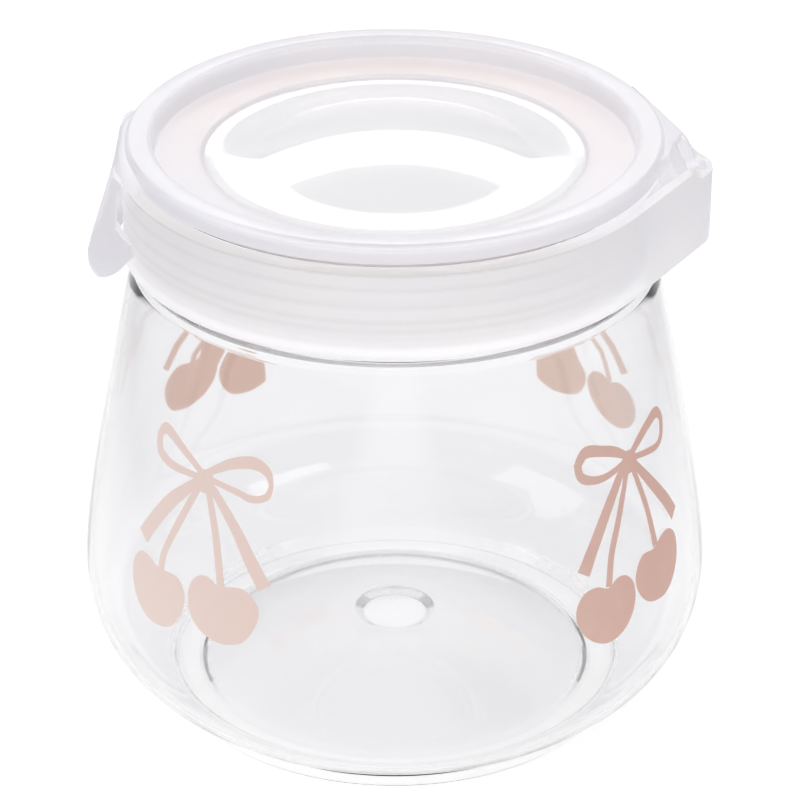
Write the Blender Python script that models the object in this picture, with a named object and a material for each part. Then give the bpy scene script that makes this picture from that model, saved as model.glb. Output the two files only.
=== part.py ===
"""Airtight canister: a clear blown jar with a hinged flip lid.

Metres, +Z up. The origin is on the jar's axis, at the level that the foot stands on. The lid's
hinge is at +X and its finger tab at -X. Sizes below are in millimetres and are scaled once, in mm().
"""
import math

import bmesh
import bpy
from mathutils import Matrix, Vector

ROUND_STEPS = 60

# Jar, a thin wall of clear plastic
JAR_WALL = 1.3
FOOT_RADIUS = 46.2
FOOT_HEIGHT = 3.5
STAND_OUTER = 45.6
STAND_INNER = 39.4
PUNT_START = 37.4
PUNT_STEPS = 5
PUNT_EDGE_HEIGHT = 2.0
PUNT_HEIGHT = 10.6
BUTTON_RADIUS = 7.6
BUTTON_HEIGHT = 0.9
BELLY_RADIUS = 61.35
BELLY_HEIGHT = 27.0
SHOULDER_RADIUS = 49.6
SHOULDER_HEIGHT = 94.0
NECK_RADIUS = 47.2
NECK_WALL = 1.8
NECK_START = 95.4
NECK_TOP = 110.6
BEAD_RADIUS = 48.0
BEADS = ((98.0, 100.8), (102.6, 105.5))

# Collar round the neck, with the hinge loop at +X
COLLAR_BORE = 48.4
COLLAR_RADIUS = 51.8
COLLAR_BOTTOM = 95.5
COLLAR_TOP = 112.1
COLLAR_EDGE = 0.5
CATCH_FLAT = 50.5
TANGENT = math.radians(32.0)
LOOP_TIP = 59.7
LOOP_TIP_HALF = 1.5
LOOP_WALL = 1.8
LOOP_BACK_RADIUS = 50.0
HOLLOW_REACH = math.radians(26.0)
LOOP_INNER_TIP = 56.2
LOOP_TIP_TOP = 109.8
LOOP_STEP_START = 54.6

# Hinge
HINGE_X = 56.9
HINGE_Z = 108.6
PIN_RADIUS = 1.0
PIN_HALF_LENGTH = 3.1
PIN_GAP = 0.3
LUG_GAP = 0.35
LUG_HALF_WIDTH = 1.6
LUG_HEAD_RADIUS = 1.5

# Lid
LID_RADIUS = 50.4
LID_TOP = 117.2
SKIRT_BOTTOM = 113.4
RIM_INNER = 45.2
LEDGE_TOP = 113.0
LEDGE_BOTTOM = 111.5
WINDOW_RADIUS = 36.6
WINDOW_TOP = 112.2
WINDOW_BOTTOM = 110.8
DOME_RADIUS = 26.7
DOME_TOP = 117.0
DOME_WALL = 1.4
PLUG_OUTER = 37.1
PLUG_INNER = 35.3
PLUG_BOTTOM = 106.0

# Seal ring under the lid
SEAL_INNER = 37.4
SEAL_OUTER = 43.6
SEAL_LIP = 45.0
SEAL_TOP = 111.2
SEAL_BOTTOM = 107.6

# Finger tab on the lid, at -X: how far out its leaning face is, by height
TAB_TANGENT = math.radians(28.0)
TAB_DISTANCE = 52.5
TAB_THICKNESS = 1.8
TAB_FACE = ((51.9, 113.9), (52.6, 111.2), (53.5, 107.5), (54.5, 104.2), (55.6, 101.0), (56.8, 97.7), 
            (57.9, 94.5), (58.5, 92.4))
TAB_CORNER = 2.2
TAB_NOSE_HALF = 2.6
TAB_CHEEK_END = 21.0
TAB_BOTTOM = 88.4
COLLAR_CLEARANCE = 0.45

# Wing of the lid over the tab, and its tongue over the hinge loop: half outlines of (x, y, top, underside)
WING = ((45.5, 19.6, 115.6, 113.4), (48.3, 15.6, 115.4, 113.4), (50.9, 9.4, 115.2, 113.2),
        (51.3, 6.0, 115.1, 113.2))
WING_FLARE = (1.0, 3.6)
TONGUE = ((45.6, 21.3, 117.0, 113.0), (47.6, 17.9, 116.4, 113.0), (49.4, 14.4, 115.86, 113.0),
          (51.2, 11.0, 115.32, 113.0), (52.9, 7.6, 114.8, 113.0), (54.2, 5.2, 114.4, 113.0))


def mm(*values):
    """Millimetres to metres, as one number or as a vector."""
    scaled = [v / 1000.0 for v in values]
    return scaled[0] if len(scaled) == 1 else Vector(scaled)


def clear_scene():
    for obj in list(bpy.data.objects):
        bpy.data.objects.remove(obj, do_unlink=True)


def plastic(name, color, roughness, alpha=1.0, transmission=0.0):
    """A plastic with its own colour, shine and clearness."""
    material = bpy.data.materials.new(name)
    material.use_nodes = True
    shader = material.node_tree.nodes["Principled BSDF"]
    shader.inputs["Base Color"].default_value = (*color, 1.0)
    shader.inputs["Roughness"].default_value = roughness
    shader.inputs["Metallic"].default_value = 0.0
    shader.inputs["Transmission Weight"].default_value = transmission
    shader.inputs["Alpha"].default_value = alpha
    return material


def add_object(name, bm, sharp_degrees=32.0):
    """Turns a bmesh in metres into a named, smooth shaded object."""
    bmesh.ops.recalc_face_normals(bm, faces=bm.faces)
    mesh = bpy.data.meshes.new(name)
    bm.to_mesh(mesh)
    bm.free()
    mesh.shade_smooth()
    mesh.set_sharp_from_angle(angle=math.radians(sharp_degrees))
    obj = bpy.data.objects.new(name, mesh)
    bpy.context.scene.collection.objects.link(obj)
    return obj


def as_tool(obj):
    """Marks a shape that only cuts or joins another one."""
    obj.hide_render = True
    obj.display_type = "WIRE"
    return obj


def combine(target, tool, operation):
    modifier = target.modifiers.new(tool.name, "BOOLEAN")
    modifier.operation = operation
    modifier.solver = "EXACT"
    modifier.object = as_tool(tool)


def bezier(p0, p1, p2, p3, steps):
    """Points along a cubic curve, without its first point."""
    points = []
    for i in range(1, steps + 1):
        t = i / steps
        s = 1.0 - t
        weights = (s ** 3, 3 * s * s * t, 3 * s * t * t, t ** 3)
        points.append(tuple(sum(w * p[k] for w, p in zip(weights, (p0, p1, p2, p3))) for k in (0, 1)))
    return points


def arc(centre, radius, start, end, steps):
    """Points along a circular arc from start to end, in degrees, both ends included."""
    points = []
    for i in range(steps + 1):
        a = math.radians(start + (end - start) * i / steps)
        points.append((centre[0] + radius * math.cos(a), centre[1] + radius * math.sin(a)))
    return points


def turned(name, profile, closed):
    """Turns a profile of (radius, height) about Z. An open profile ends on the axis at both ends."""
    bm = bmesh.new()
    rings = []
    for radius, height in profile:
        if radius < 1e-6:
            rings.append([bm.verts.new(mm(0.0, 0.0, height))])
            continue
        ring = []
        for i in range(ROUND_STEPS):
            a = 2.0 * math.pi * i / ROUND_STEPS
            ring.append(bm.verts.new(mm(radius * math.cos(a), radius * math.sin(a), height)))
        rings.append(ring)
    pairs = list(zip(rings, rings[1:]))
    if closed:
        pairs.append((rings[-1], rings[0]))
    for low, high in pairs:
        for i in range(ROUND_STEPS):
            j = (i + 1) % ROUND_STEPS
            if len(low) == 1:
                bm.faces.new((low[0], high[j], high[i]))
            elif len(high) == 1:
                bm.faces.new((low[i], low[j], high[0]))
            else:
                bm.faces.new((low[i], low[j], high[j], high[i]))
    return add_object(name, bm)


def stacked(name, outlines):
    """Joins outlines of equally many (x, y, z) points into one closed solid, capped at both ends."""
    bm = bmesh.new()
    rings = [[bm.verts.new(mm(*p)) for p in outline] for outline in outlines]
    count = len(rings[0])
    for low, high in zip(rings, rings[1:]):
        for i in range(count):
            j = (i + 1) % count
            bm.faces.new((low[i], low[j], high[j], high[i]))
    bm.faces.new(list(reversed(rings[0])))
    bm.faces.new(rings[-1])
    return add_object(name, bm)


def upright_prism(name, outline, bottom, top):
    return stacked(name, [[(x, y, z) for x, y in outline] for z in (bottom, top)])


def sideways_prism(name, outline, half_width):
    """An outline of (x, z) points, made solid along Y."""
    return stacked(name, [[(x, y, z) for x, z in outline] for y in (-half_width, half_width)])


def round_bar(name, radius, start, end, segments=20):
    """A round bar between two points."""
    bm = bmesh.new()
    along = mm(*end) - mm(*start)
    turn = Vector((0, 0, 1)).rotation_difference(along).to_matrix().to_4x4()
    place = Matrix.Translation((mm(*start) + mm(*end)) / 2.0) @ turn
    bmesh.ops.create_cone(bm, cap_ends=True, segments=segments, radius1=mm(radius), radius2=mm(radius),
                          depth=along.length, matrix=place)
    return add_object(name, bm)


def offset_profile(profile, distance):
    """Moves each point of an open profile sideways, to the left of its direction."""
    moved = []
    for i, point in enumerate(profile):
        before = Vector(profile[max(i - 1, 0)])
        after = Vector(profile[min(i + 1, len(profile) - 1)])
        along = (after - before).normalized()
        moved.append((max(point[0] - along.y * distance, 0.0), point[1] + along.x * distance))
    return moved


def wall_point(distance, y, angle=TANGENT):
    """The x at which a straight wall, at a distance from the axis, passes a given y."""
    return (distance - math.sin(angle) * y) / math.cos(angle)


def wall_y(distance, x, angle=TANGENT):
    """The y at which a straight wall, at a distance from the axis, passes a given x."""
    return (distance - math.cos(angle) * x) / math.sin(angle)


def jar():
    """Clear jar: foot, belly and neck, one thin wall, and a push-up base with a gate button."""
    body = []
    for i in range(PUNT_STEPS + 1):
        t = i / PUNT_STEPS
        body.append((PUNT_START * t, PUNT_EDGE_HEIGHT + (PUNT_HEIGHT - PUNT_EDGE_HEIGHT) * (1.0 - t * t)))
    body += [(STAND_INNER - 0.9, 0.4), (STAND_INNER, 0.0), (STAND_OUTER, 0.0), (FOOT_RADIUS, 0.7)]
    body.append((FOOT_RADIUS, FOOT_HEIGHT))
    body += bezier((FOOT_RADIUS, FOOT_HEIGHT), (56.6, 8.6), (BELLY_RADIUS, 17.0),
                   (BELLY_RADIUS, BELLY_HEIGHT), 5)
    body += bezier((BELLY_RADIUS, BELLY_HEIGHT), (BELLY_RADIUS, 39.0), (54.2, 72.0),
                   (SHOULDER_RADIUS, SHOULDER_HEIGHT), 6)
    inside = offset_profile(body, JAR_WALL)
    neck = [(NECK_RADIUS + 0.4, NECK_START - 0.4), (NECK_RADIUS, NECK_START)]
    for low, high in BEADS:
        neck += [(NECK_RADIUS, low), (BEAD_RADIUS, low + 0.7), (BEAD_RADIUS, high - 0.7), (NECK_RADIUS, high)]
    bore = NECK_RADIUS - NECK_WALL
    lip = [(NECK_RADIUS, NECK_TOP - 0.5), (NECK_RADIUS - 0.5, NECK_TOP), (bore + 0.5, NECK_TOP)]
    lip.append((bore, NECK_TOP - 0.5))
    inner_neck = [(bore, NECK_START), (bore + 0.8, NECK_START - 1.8)]
    down = list(reversed(inside[PUNT_STEPS + 5:-1]))
    crown = inside[0][1]
    floor = [(STAND_INNER + 0.6, JAR_WALL + 0.3)] + list(reversed(inside[2:PUNT_STEPS + 1]))
    button = [(BUTTON_RADIUS + 0.6, crown - 0.3), (BUTTON_RADIUS - 0.4, crown + BUTTON_HEIGHT - 0.2),
              (BUTTON_RADIUS - 1.4, crown + BUTTON_HEIGHT), (0.0, crown + BUTTON_HEIGHT)]
    return turned("jar", body + neck + lip + inner_neck + down + floor + button, closed=False)


def teardrop(radius, tip, tip_half):
    """A circle about Z whose two straight, tangent walls meet at a blunt tip at +X."""
    points = [(tip, -tip_half + 0.5), (tip, tip_half - 0.5), (tip - 0.6, wall_y(radius, tip - 0.6))]
    first = math.ceil(math.degrees(TANGENT))
    for degrees in range(first, 361 - first, 6):
        a = math.radians(degrees)
        points.append((radius * math.cos(a), radius * math.sin(a)))
    points.append((tip - 0.6, -wall_y(radius, tip - 0.6)))
    return points


def collar():
    """Milky collar round the neck. Its side at +X is drawn out to a hollow loop for the hinge."""
    wide = teardrop(COLLAR_RADIUS, LOOP_TIP, LOOP_TIP_HALF)
    narrow = teardrop(COLLAR_RADIUS - COLLAR_EDGE, LOOP_TIP - COLLAR_EDGE, LOOP_TIP_HALF)
    levels = [(narrow, COLLAR_BOTTOM), (wide, COLLAR_BOTTOM + COLLAR_EDGE), (wide, COLLAR_TOP - COLLAR_EDGE),
              (narrow, COLLAR_TOP)]
    ring = stacked("neck_collar", [[(x, y, z) for x, y in outline] for outline, z in levels])
    far = COLLAR_TOP + 5.0
    combine(ring, turned("collar_bore", [(0.0, 90.0), (COLLAR_BORE, 90.0), (COLLAR_BORE, far), (0.0, far)],
                         closed=False), "DIFFERENCE")
    inner = COLLAR_RADIUS - LOOP_WALL
    half = wall_y(inner, LOOP_INNER_TIP)
    hollow = [(LOOP_INNER_TIP, -half), (LOOP_INNER_TIP, half)]
    for i in range(9):
        a = HOLLOW_REACH * (1.0 - i / 4.0)
        hollow.append((LOOP_BACK_RADIUS * math.cos(a), LOOP_BACK_RADIUS * math.sin(a)))
    combine(ring, upright_prism("loop_hollow", hollow, 90.0, far), "DIFFERENCE")
    slot = LUG_HALF_WIDTH + LUG_GAP
    slot_end = HINGE_X + LUG_HEAD_RADIUS + LUG_GAP
    slot_floor = HINGE_Z - LUG_HEAD_RADIUS - LUG_GAP
    slot_start = LOOP_INNER_TIP - 1.5
    outline = [(slot_start, -slot), (slot_end, -slot), (slot_end, slot), (slot_start, slot)]
    combine(ring, upright_prism("hinge_slot", outline, slot_floor, far), "DIFFERENCE")
    hole = PIN_HALF_LENGTH + PIN_GAP
    combine(ring, round_bar("pin_hole", PIN_RADIUS + PIN_GAP, (HINGE_X, -hole, HINGE_Z),
                            (HINGE_X, hole, HINGE_Z)), "DIFFERENCE")
    step = [(LOOP_STEP_START, far), (LOOP_STEP_START, COLLAR_TOP), (LOOP_STEP_START + 2.6, LOOP_TIP_TOP),
            (LOOP_TIP + 2.0, LOOP_TIP_TOP), (LOOP_TIP + 2.0, far)]
    combine(ring, sideways_prism("loop_top_step", step, 20.0), "DIFFERENCE")
    flat = [(-CATCH_FLAT, 90.0), (-CATCH_FLAT, far), (-LOOP_TIP, far), (-LOOP_TIP, 90.0)]
    combine(ring, sideways_prism("catch_flat", flat, 20.0), "DIFFERENCE")
    return ring


def lid_disc():
    """Lid moulding without its tab: raised rim, ledge, clear window with a dome, and the plug wall below."""
    top = []
    for i in range(7):
        radius = DOME_RADIUS * i / 6.0
        top.append((radius, WINDOW_TOP + (DOME_TOP - WINDOW_TOP) * (1.0 - (i / 6.0) ** 2)))
    under = [(r, z - DOME_WALL) for r, z in top]
    top += [(WINDOW_RADIUS - 0.8, WINDOW_TOP), (WINDOW_RADIUS, LEDGE_TOP), (RIM_INNER - 0.5, LEDGE_TOP)]
    rim = [(RIM_INNER, LEDGE_TOP + 0.5), (RIM_INNER + 0.3, LID_TOP - 0.9), (RIM_INNER + 1.1, LID_TOP),
           (LID_RADIUS - 1.0, LID_TOP), (LID_RADIUS - 0.25, LID_TOP - 0.3), (LID_RADIUS, LID_TOP - 1.0),
           (LID_RADIUS, SKIRT_BOTTOM + 0.3), (LID_RADIUS - 0.3, SKIRT_BOTTOM),
           (LID_RADIUS - 1.2, SKIRT_BOTTOM), (LID_RADIUS - 1.6, LID_TOP - 2.1),
           (RIM_INNER + 1.7, LID_TOP - 2.1), (RIM_INNER + 1.2, LEDGE_BOTTOM)]
    plug = [(PLUG_OUTER, LEDGE_BOTTOM), (PLUG_OUTER, PLUG_BOTTOM + 0.3), (PLUG_OUTER - 0.3, PLUG_BOTTOM),
            (PLUG_INNER + 0.3, PLUG_BOTTOM), (PLUG_INNER, PLUG_BOTTOM + 0.3), (PLUG_INNER, WINDOW_BOTTOM)]
    return turned("lid", top + rim + plug + list(reversed(under)), closed=False)


def face_x(height):
    """How far out the tab's leaning face is, at a height."""
    for (x_high, z_high), (x_low, z_low) in zip(TAB_FACE, TAB_FACE[1:]):
        if height >= z_low:
            return x_high + (x_low - x_high) * (z_high - height) / (z_high - z_low)
    return TAB_FACE[-1][0]


def tab_side(distance, face, end, corner):
    """Half of the tab's outline seen from above, from its middle to its cheek's end, mirrored to -X later."""
    y_corner = max(wall_y(distance, face, TAB_TANGENT), TAB_NOSE_HALF)
    back = min(corner, y_corner - 0.4)
    start = (face, y_corner - back)
    turn = []
    for y in (y_corner + 0.3 * corner, y_corner + 0.8 * corner):
        turn.append((min(wall_point(distance, y, TAB_TANGENT), face), y))
    bend = bezier(start, (face, y_corner - back * 0.4), turn[0], turn[1], 4)
    return [start] + bend + [(wall_point(distance, end, TAB_TANGENT), end)]


def tab_outline(height):
    """The closed outline of the tab's wall at one height: outside, then back along the inside."""
    face = face_x(height)
    outer = tab_side(TAB_DISTANCE, face, TAB_CHEEK_END, TAB_CORNER)
    inner = tab_side(TAB_DISTANCE - TAB_THICKNESS, face - TAB_THICKNESS, TAB_CHEEK_END - 1.0,
                     TAB_CORNER * 0.6)
    around = [(x, y) for x, y in reversed(outer)] + [(x, -y) for x, y in outer]
    back = [(x, -y) for x, y in reversed(inner)] + [(x, y) for x, y in inner]
    return [(-x, y, height) for x, y in around + back]


def plate(name, half_outline, flare, side):
    """A plate symmetrical about the XZ plane, with its own top and underside height at each point."""
    over, under = [], []
    for x, y, top, bottom in half_outline:
        over.append((side * x, y, top))
        under.append((side * (x + flare[0]), y + flare[1], bottom))
    over += [(x, -y, z) for x, y, z in reversed(over)]
    under += [(x, -y, z) for x, y, z in reversed(under)]
    return stacked(name, [under, over])


def tab_tools():
    """The finger tab: a wing that grows out of the rim, and below it a leaning, wrapped wall."""
    heights = [TAB_BOTTOM, 90.6] + [z for _, z in reversed(TAB_FACE)]
    wall = stacked("tab_wall", [tab_outline(z) for z in heights])
    low = [(-62.0, 86.0), (-62.0, 93.0), (-58.9, 91.2), (-57.9, 89.7), (-56.4, 89.2), (-54.6, 90.9),
           (-51.4, 94.9), (-48.6, 100.0), (-44.0, 106.0), (-44.0, 86.0)]
    combine(wall, sideways_prism("tab_lower_edge", low, 30.0), "DIFFERENCE")
    notch = [(-51.7, 103.4), (-50.6, 102.8), (-44.0, 102.8), (-44.0, SKIRT_BOTTOM + 2.0),
             (-49.6, SKIRT_BOTTOM + 2.0), (-51.2, 110.0)]
    combine(wall, sideways_prism("tab_notch", notch, 30.0), "DIFFERENCE")
    inside = COLLAR_RADIUS + COLLAR_CLEARANCE
    room = [(-CATCH_FLAT - 0.35, y) for y in (12.0, -12.0)] + arc((0.0, 0.0), inside, 194.0, 225.0, 6)
    room += [(-30.0, -36.9), (-30.0, 36.9)] + arc((0.0, 0.0), inside, 135.0, 166.0, 6)
    combine(wall, upright_prism("tab_room_for_collar", room, 80.0, COLLAR_TOP + 0.5), "DIFFERENCE")
    return wall, plate("tab_wing", WING, WING_FLARE, -1.0)


def lug_tools():
    """The hinge lug, from the rim into the collar's loop, and its pin."""
    lug = [(48.8, 114.0), (48.8, 115.3), (50.8, 114.9), (52.4, 114.3), (53.4, 112.6), (54.1, 110.9),
           (54.7, 109.9), (55.4, 109.7)]
    lug += arc((HINGE_X, HINGE_Z), LUG_HEAD_RADIUS, 120.0, -150.0, 9)
    lug += [(54.2, 107.7), (52.9, 108.6), (51.9, 110.4), (51.3, 112.2), (50.9, 113.5), (50.0, 114.0)]
    arm = sideways_prism("hinge_lug", lug, LUG_HALF_WIDTH)
    tongue = plate("hinge_tongue", TONGUE, (0.0, 0.0), 1.0)
    pin = round_bar("hinge_pin", PIN_RADIUS, (HINGE_X, -PIN_HALF_LENGTH, HINGE_Z),
                    (HINGE_X, PIN_HALF_LENGTH, HINGE_Z), 16)
    return tongue, arm, pin


def lid():
    """Lid in one moulding, with its origin on the hinge axis."""
    disc = lid_disc()
    wall, wing = tab_tools()
    for tool in (wing, wall, *lug_tools()):
        combine(disc, tool, "UNION")
    return disc


def seal():
    """Soft seal round the plug wall, with a thin lip that meets the jar's mouth."""
    profile = [(SEAL_INNER, SEAL_BOTTOM), (SEAL_INNER, SEAL_TOP), (SEAL_OUTER, SEAL_TOP),
               (SEAL_LIP, 110.6), (SEAL_LIP, 110.0), (SEAL_OUTER, 109.8), (SEAL_OUTER, 109.2),
               (SEAL_LIP, 108.9), (SEAL_LIP, 108.3), (SEAL_OUTER, SEAL_BOTTOM)]
    return turned("seal_ring", profile, closed=True)


def hang_on_hinge(pieces):
    """Parents the moving pieces to an empty on the hinge axis, without moving them."""
    axis = bpy.data.objects.new("lid_hinge_axis", None)
    axis.location = mm(HINGE_X, 0.0, HINGE_Z)
    bpy.context.scene.collection.objects.link(axis)
    for piece in pieces:
        piece.parent = axis
        piece.location = -axis.location


def build():
    clear_scene()
    clear_plastic = plastic("clear_jar", (0.93, 0.93, 0.94), 0.05, alpha=0.3, transmission=0.9)
    milky_plastic = plastic("milky_collar", (0.86, 0.86, 0.89), 0.35, alpha=0.85)
    lid_plastic = plastic("milky_lid", (0.88, 0.88, 0.91), 0.3, alpha=0.7)
    soft_seal = plastic("soft_seal", (0.9, 0.85, 0.83), 0.5)
    pieces = {"jar": (jar(), clear_plastic), "neck_collar": (collar(), milky_plastic),
              "lid": (lid(), lid_plastic), "seal_ring": (seal(), soft_seal)}
    for piece, material in pieces.values():
        piece.data.materials.append(material)
    hang_on_hinge([pieces["lid"][0], pieces["seal_ring"][0]])


build()
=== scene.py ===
"""Looks of the airtight canister: a clear blown jar, its milky collar, flip lid, soft seal and print."""

import math

import bpy
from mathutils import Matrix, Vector


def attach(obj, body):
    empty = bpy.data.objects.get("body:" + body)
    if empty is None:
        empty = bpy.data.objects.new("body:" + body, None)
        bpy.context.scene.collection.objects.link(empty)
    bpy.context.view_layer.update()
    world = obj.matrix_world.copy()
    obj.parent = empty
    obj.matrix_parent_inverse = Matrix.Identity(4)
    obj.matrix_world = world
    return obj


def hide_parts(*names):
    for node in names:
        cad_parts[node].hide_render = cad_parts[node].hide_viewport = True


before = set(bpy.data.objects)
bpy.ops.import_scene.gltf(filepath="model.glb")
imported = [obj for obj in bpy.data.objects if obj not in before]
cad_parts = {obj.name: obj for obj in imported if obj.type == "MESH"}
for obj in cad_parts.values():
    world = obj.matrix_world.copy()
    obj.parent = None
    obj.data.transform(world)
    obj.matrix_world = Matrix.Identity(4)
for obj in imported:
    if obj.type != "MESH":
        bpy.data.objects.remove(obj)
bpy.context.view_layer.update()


# Jar
# One blow-moulded piece of clear polyester: a standing ring, a wide belly and a neck with two beads.
# Its base is pushed up in the middle and keeps the round gate mark that moulding leaves.
JAR_WALL = 1.3
FOOT_RADIUS, FOOT_HEIGHT = 46.2, 3.5
STAND_OUTER, STAND_INNER = 45.6, 39.4
PUNT_START, PUNT_LOW, PUNT_HIGH = 37.4, 2.0, 10.6
GATE_RADIUS, GATE_SLOPE, GATE_RIM, GATE_DEPTH, GATE_BULGE = 8.2, 1.9, 0.1, 0.85, 0.4
BELLY_RADIUS, BELLY_HEIGHT = 61.35, 27.0
SHOULDER_RADIUS, SHOULDER_HEIGHT = 49.6, 94.0
NECK_RADIUS, NECK_WALL, NECK_START, NECK_TOP = 47.2, 1.8, 95.4, 110.6
BEAD_RADIUS, BEADS = 48.0, ((98.0, 100.8), (102.6, 105.5))
THICKENING, THICKENING_START, THICKENING_STEPS = 1.9, 90.6, 29
RING_DEPTH, RING_PITCH = 0.04, 1.1


def mm(*values):
    """Millimetres to metres."""
    return tuple(v / 1000.0 for v in values)


def deselect_all():
    for obj in bpy.context.selected_objects:
        obj.select_set(False)


def pick(obj):
    """Selects one object alone, and makes it the active one."""
    deselect_all()
    obj.select_set(True)
    bpy.context.view_layer.objects.active = obj


def edit(obj):
    """Goes into edit mode on one object, with all of it selected."""
    pick(obj)
    bpy.ops.object.mode_set(mode="EDIT")
    bpy.ops.mesh.select_all(action="SELECT")


def leave_edit():
    bpy.ops.object.mode_set(mode="OBJECT")


def drawn(name, points):
    """A chain of edges through (x, y, z) points, left in edit mode with its last point selected."""
    deselect_all()
    bpy.ops.mesh.primitive_plane_add(size=0.001)
    obj = bpy.context.object
    obj.name = name
    edit(obj)
    bpy.ops.mesh.merge(type="CENTER")
    bpy.ops.transform.translate(value=mm(*points[0]))
    for start, end in zip(points, points[1:]):
        step = [b - a for a, b in zip(start, end)]
        bpy.ops.mesh.extrude_region_move(TRANSFORM_OT_translate={"value": mm(*step)})
    return obj


def turned(name, profile, turns=180):
    """A profile of (radius, height) points, spun round the jar's axis into a closed body."""
    obj = drawn(name, [(radius, 0.0, height) for radius, height in profile])
    bpy.ops.mesh.select_all(action="SELECT")
    bpy.ops.mesh.spin(steps=turns, angle=2.0 * math.pi, center=(0.0, 0.0, 0.0), axis=(0.0, 0.0, 1.0))
    bpy.ops.mesh.select_all(action="SELECT")
    bpy.ops.mesh.remove_doubles(threshold=1e-6)
    bpy.ops.mesh.normals_make_consistent(inside=False)
    leave_edit()
    return obj


def bezier(p0, p1, p2, p3, steps):
    """Points along a cubic curve, without its first point."""
    points = []
    for i in range(1, steps + 1):
        t = i / steps
        s = 1.0 - t
        weights = (s ** 3, 3 * s * s * t, 3 * s * t * t, t ** 3)
        points.append(tuple(sum(w * p[k] for w, p in zip(weights, (p0, p1, p2, p3))) for k in (0, 1)))
    return points


def rounded(points, radius, steps=3):
    """Rounds the corners of an open chain of points, each by at most two fifths of its shorter side."""
    out = [points[0]]
    for before, corner, after in zip(points, points[1:], points[2:]):
        back, on = Vector(before) - Vector(corner), Vector(after) - Vector(corner)
        bend = math.pi - back.angle(on)
        reach = min(radius * math.tan(bend / 2.0), back.length / 2.5, on.length / 2.5)
        if bend < math.radians(12.0) or reach < 0.02:
            out.append(corner)
            continue
        start, end = Vector(corner) + back.normalized() * reach, Vector(corner) + on.normalized() * reach
        for i in range(steps + 1):
            t = i / steps
            point = start * (1 - t) ** 2 + Vector(corner) * 2 * t * (1 - t) + end * t ** 2
            out.append(tuple(point))
    return out + [points[-1]]


def inward(profile, distance):
    """Moves each point of a profile sideways, to the left of its direction."""
    moved = []
    for i, point in enumerate(profile):
        before, after = Vector(profile[max(i - 1, 0)]), Vector(profile[min(i + 1, len(profile) - 1)])
        along = (after - before).normalized()
        moved.append((max(point[0] - along.y * distance, 0.0), point[1] + along.x * distance))
    return moved


def smooth(obj, degrees=40.0):
    pick(obj)
    bpy.ops.object.shade_smooth_by_angle(angle=math.radians(degrees), keep_sharp_edges=False)


def outer_wall():
    """The outside of the jar's body, from the foot to the shoulder."""
    widest = (BELLY_RADIUS, BELLY_HEIGHT)
    low = bezier((FOOT_RADIUS, FOOT_HEIGHT), (56.6, 8.6), (BELLY_RADIUS, 17.0), widest, 18)
    return low + bezier(widest, (BELLY_RADIUS, 39.0), (54.2, 72.0), (SHOULDER_RADIUS, SHOULDER_HEIGHT), 22)


def outer_radius(height):
    """The jar's outer radius at a height on its belly or shoulder."""
    wall = [point for point in outer_wall() if point[1] > BELLY_HEIGHT - 4.0]
    for (r_low, z_low), (r_high, z_high) in zip(wall, wall[1:]):
        if z_low <= height <= z_high:
            return r_low + (r_high - r_low) * (height - z_low) / (z_high - z_low)
    return BELLY_RADIUS


def thickening():
    """Inside the shoulder the wall grows to the neck's thickness, with the fine rings of blow moulding."""
    points = []
    for i in range(THICKENING_STEPS + 1):
        rise = 1.0 - i / THICKENING_STEPS
        height = THICKENING_START + rise * (NECK_START - 2.4 - THICKENING_START)
        ring = RING_DEPTH * math.sin(2.0 * math.pi * height / RING_PITCH)
        points.append((outer_radius(height) - JAR_WALL - THICKENING * rise * rise - ring, height))
    return points


def jar_profile():
    punt = [(PUNT_START * i / 12.0, PUNT_LOW + (PUNT_HIGH - PUNT_LOW) * (1.0 - (i / 12.0) ** 2))
            for i in range(13)]
    foot = [(STAND_INNER - 0.9, 0.4), (STAND_INNER, 0.0), (STAND_OUTER, 0.0), (FOOT_RADIUS, 0.7),
            (FOOT_RADIUS, FOOT_HEIGHT)]
    body = rounded(punt + foot, 0.7) + outer_wall()
    inner_body = inward(body, JAR_WALL)
    bore = NECK_RADIUS - NECK_WALL
    neck = [body[-1], (NECK_RADIUS + 0.4, NECK_START - 0.4), (NECK_RADIUS, NECK_START + 0.6)]
    for low, high in BEADS:
        neck += [(NECK_RADIUS, low), (BEAD_RADIUS, low + 0.7), (BEAD_RADIUS, high - 0.7), (NECK_RADIUS, high)]
    neck += [(NECK_RADIUS, NECK_TOP), (bore, NECK_TOP), (bore, NECK_START), (bore + 1.0, NECK_START - 2.0)]
    inner_wall = [(r, z) for r, z in reversed(inner_body) if r > 40.0 and 4.0 < z < THICKENING_START - 1.0]
    crown = PUNT_HIGH + JAR_WALL
    well = [(44.2, 2.4), (42.5, JAR_WALL + 0.25), (39.9, JAR_WALL + 0.3), (38.2, JAR_WALL + 1.5)]
    dome = [(r, z + JAR_WALL) for r, z in reversed(punt) if GATE_RADIUS + 2.6 < r < 37.0]
    dish = crown + GATE_RIM - GATE_DEPTH
    gate = [(GATE_RADIUS + 2.4, crown - 0.5), (GATE_RADIUS, crown + GATE_RIM),
            (GATE_RADIUS - GATE_SLOPE, dish), (0.0, dish + GATE_BULGE)]
    outside = body[:-1] + rounded(neck, 0.6)
    return outside + thickening() + inner_wall + rounded(well, 1.5) + dome + rounded(gate, 0.9)


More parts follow.
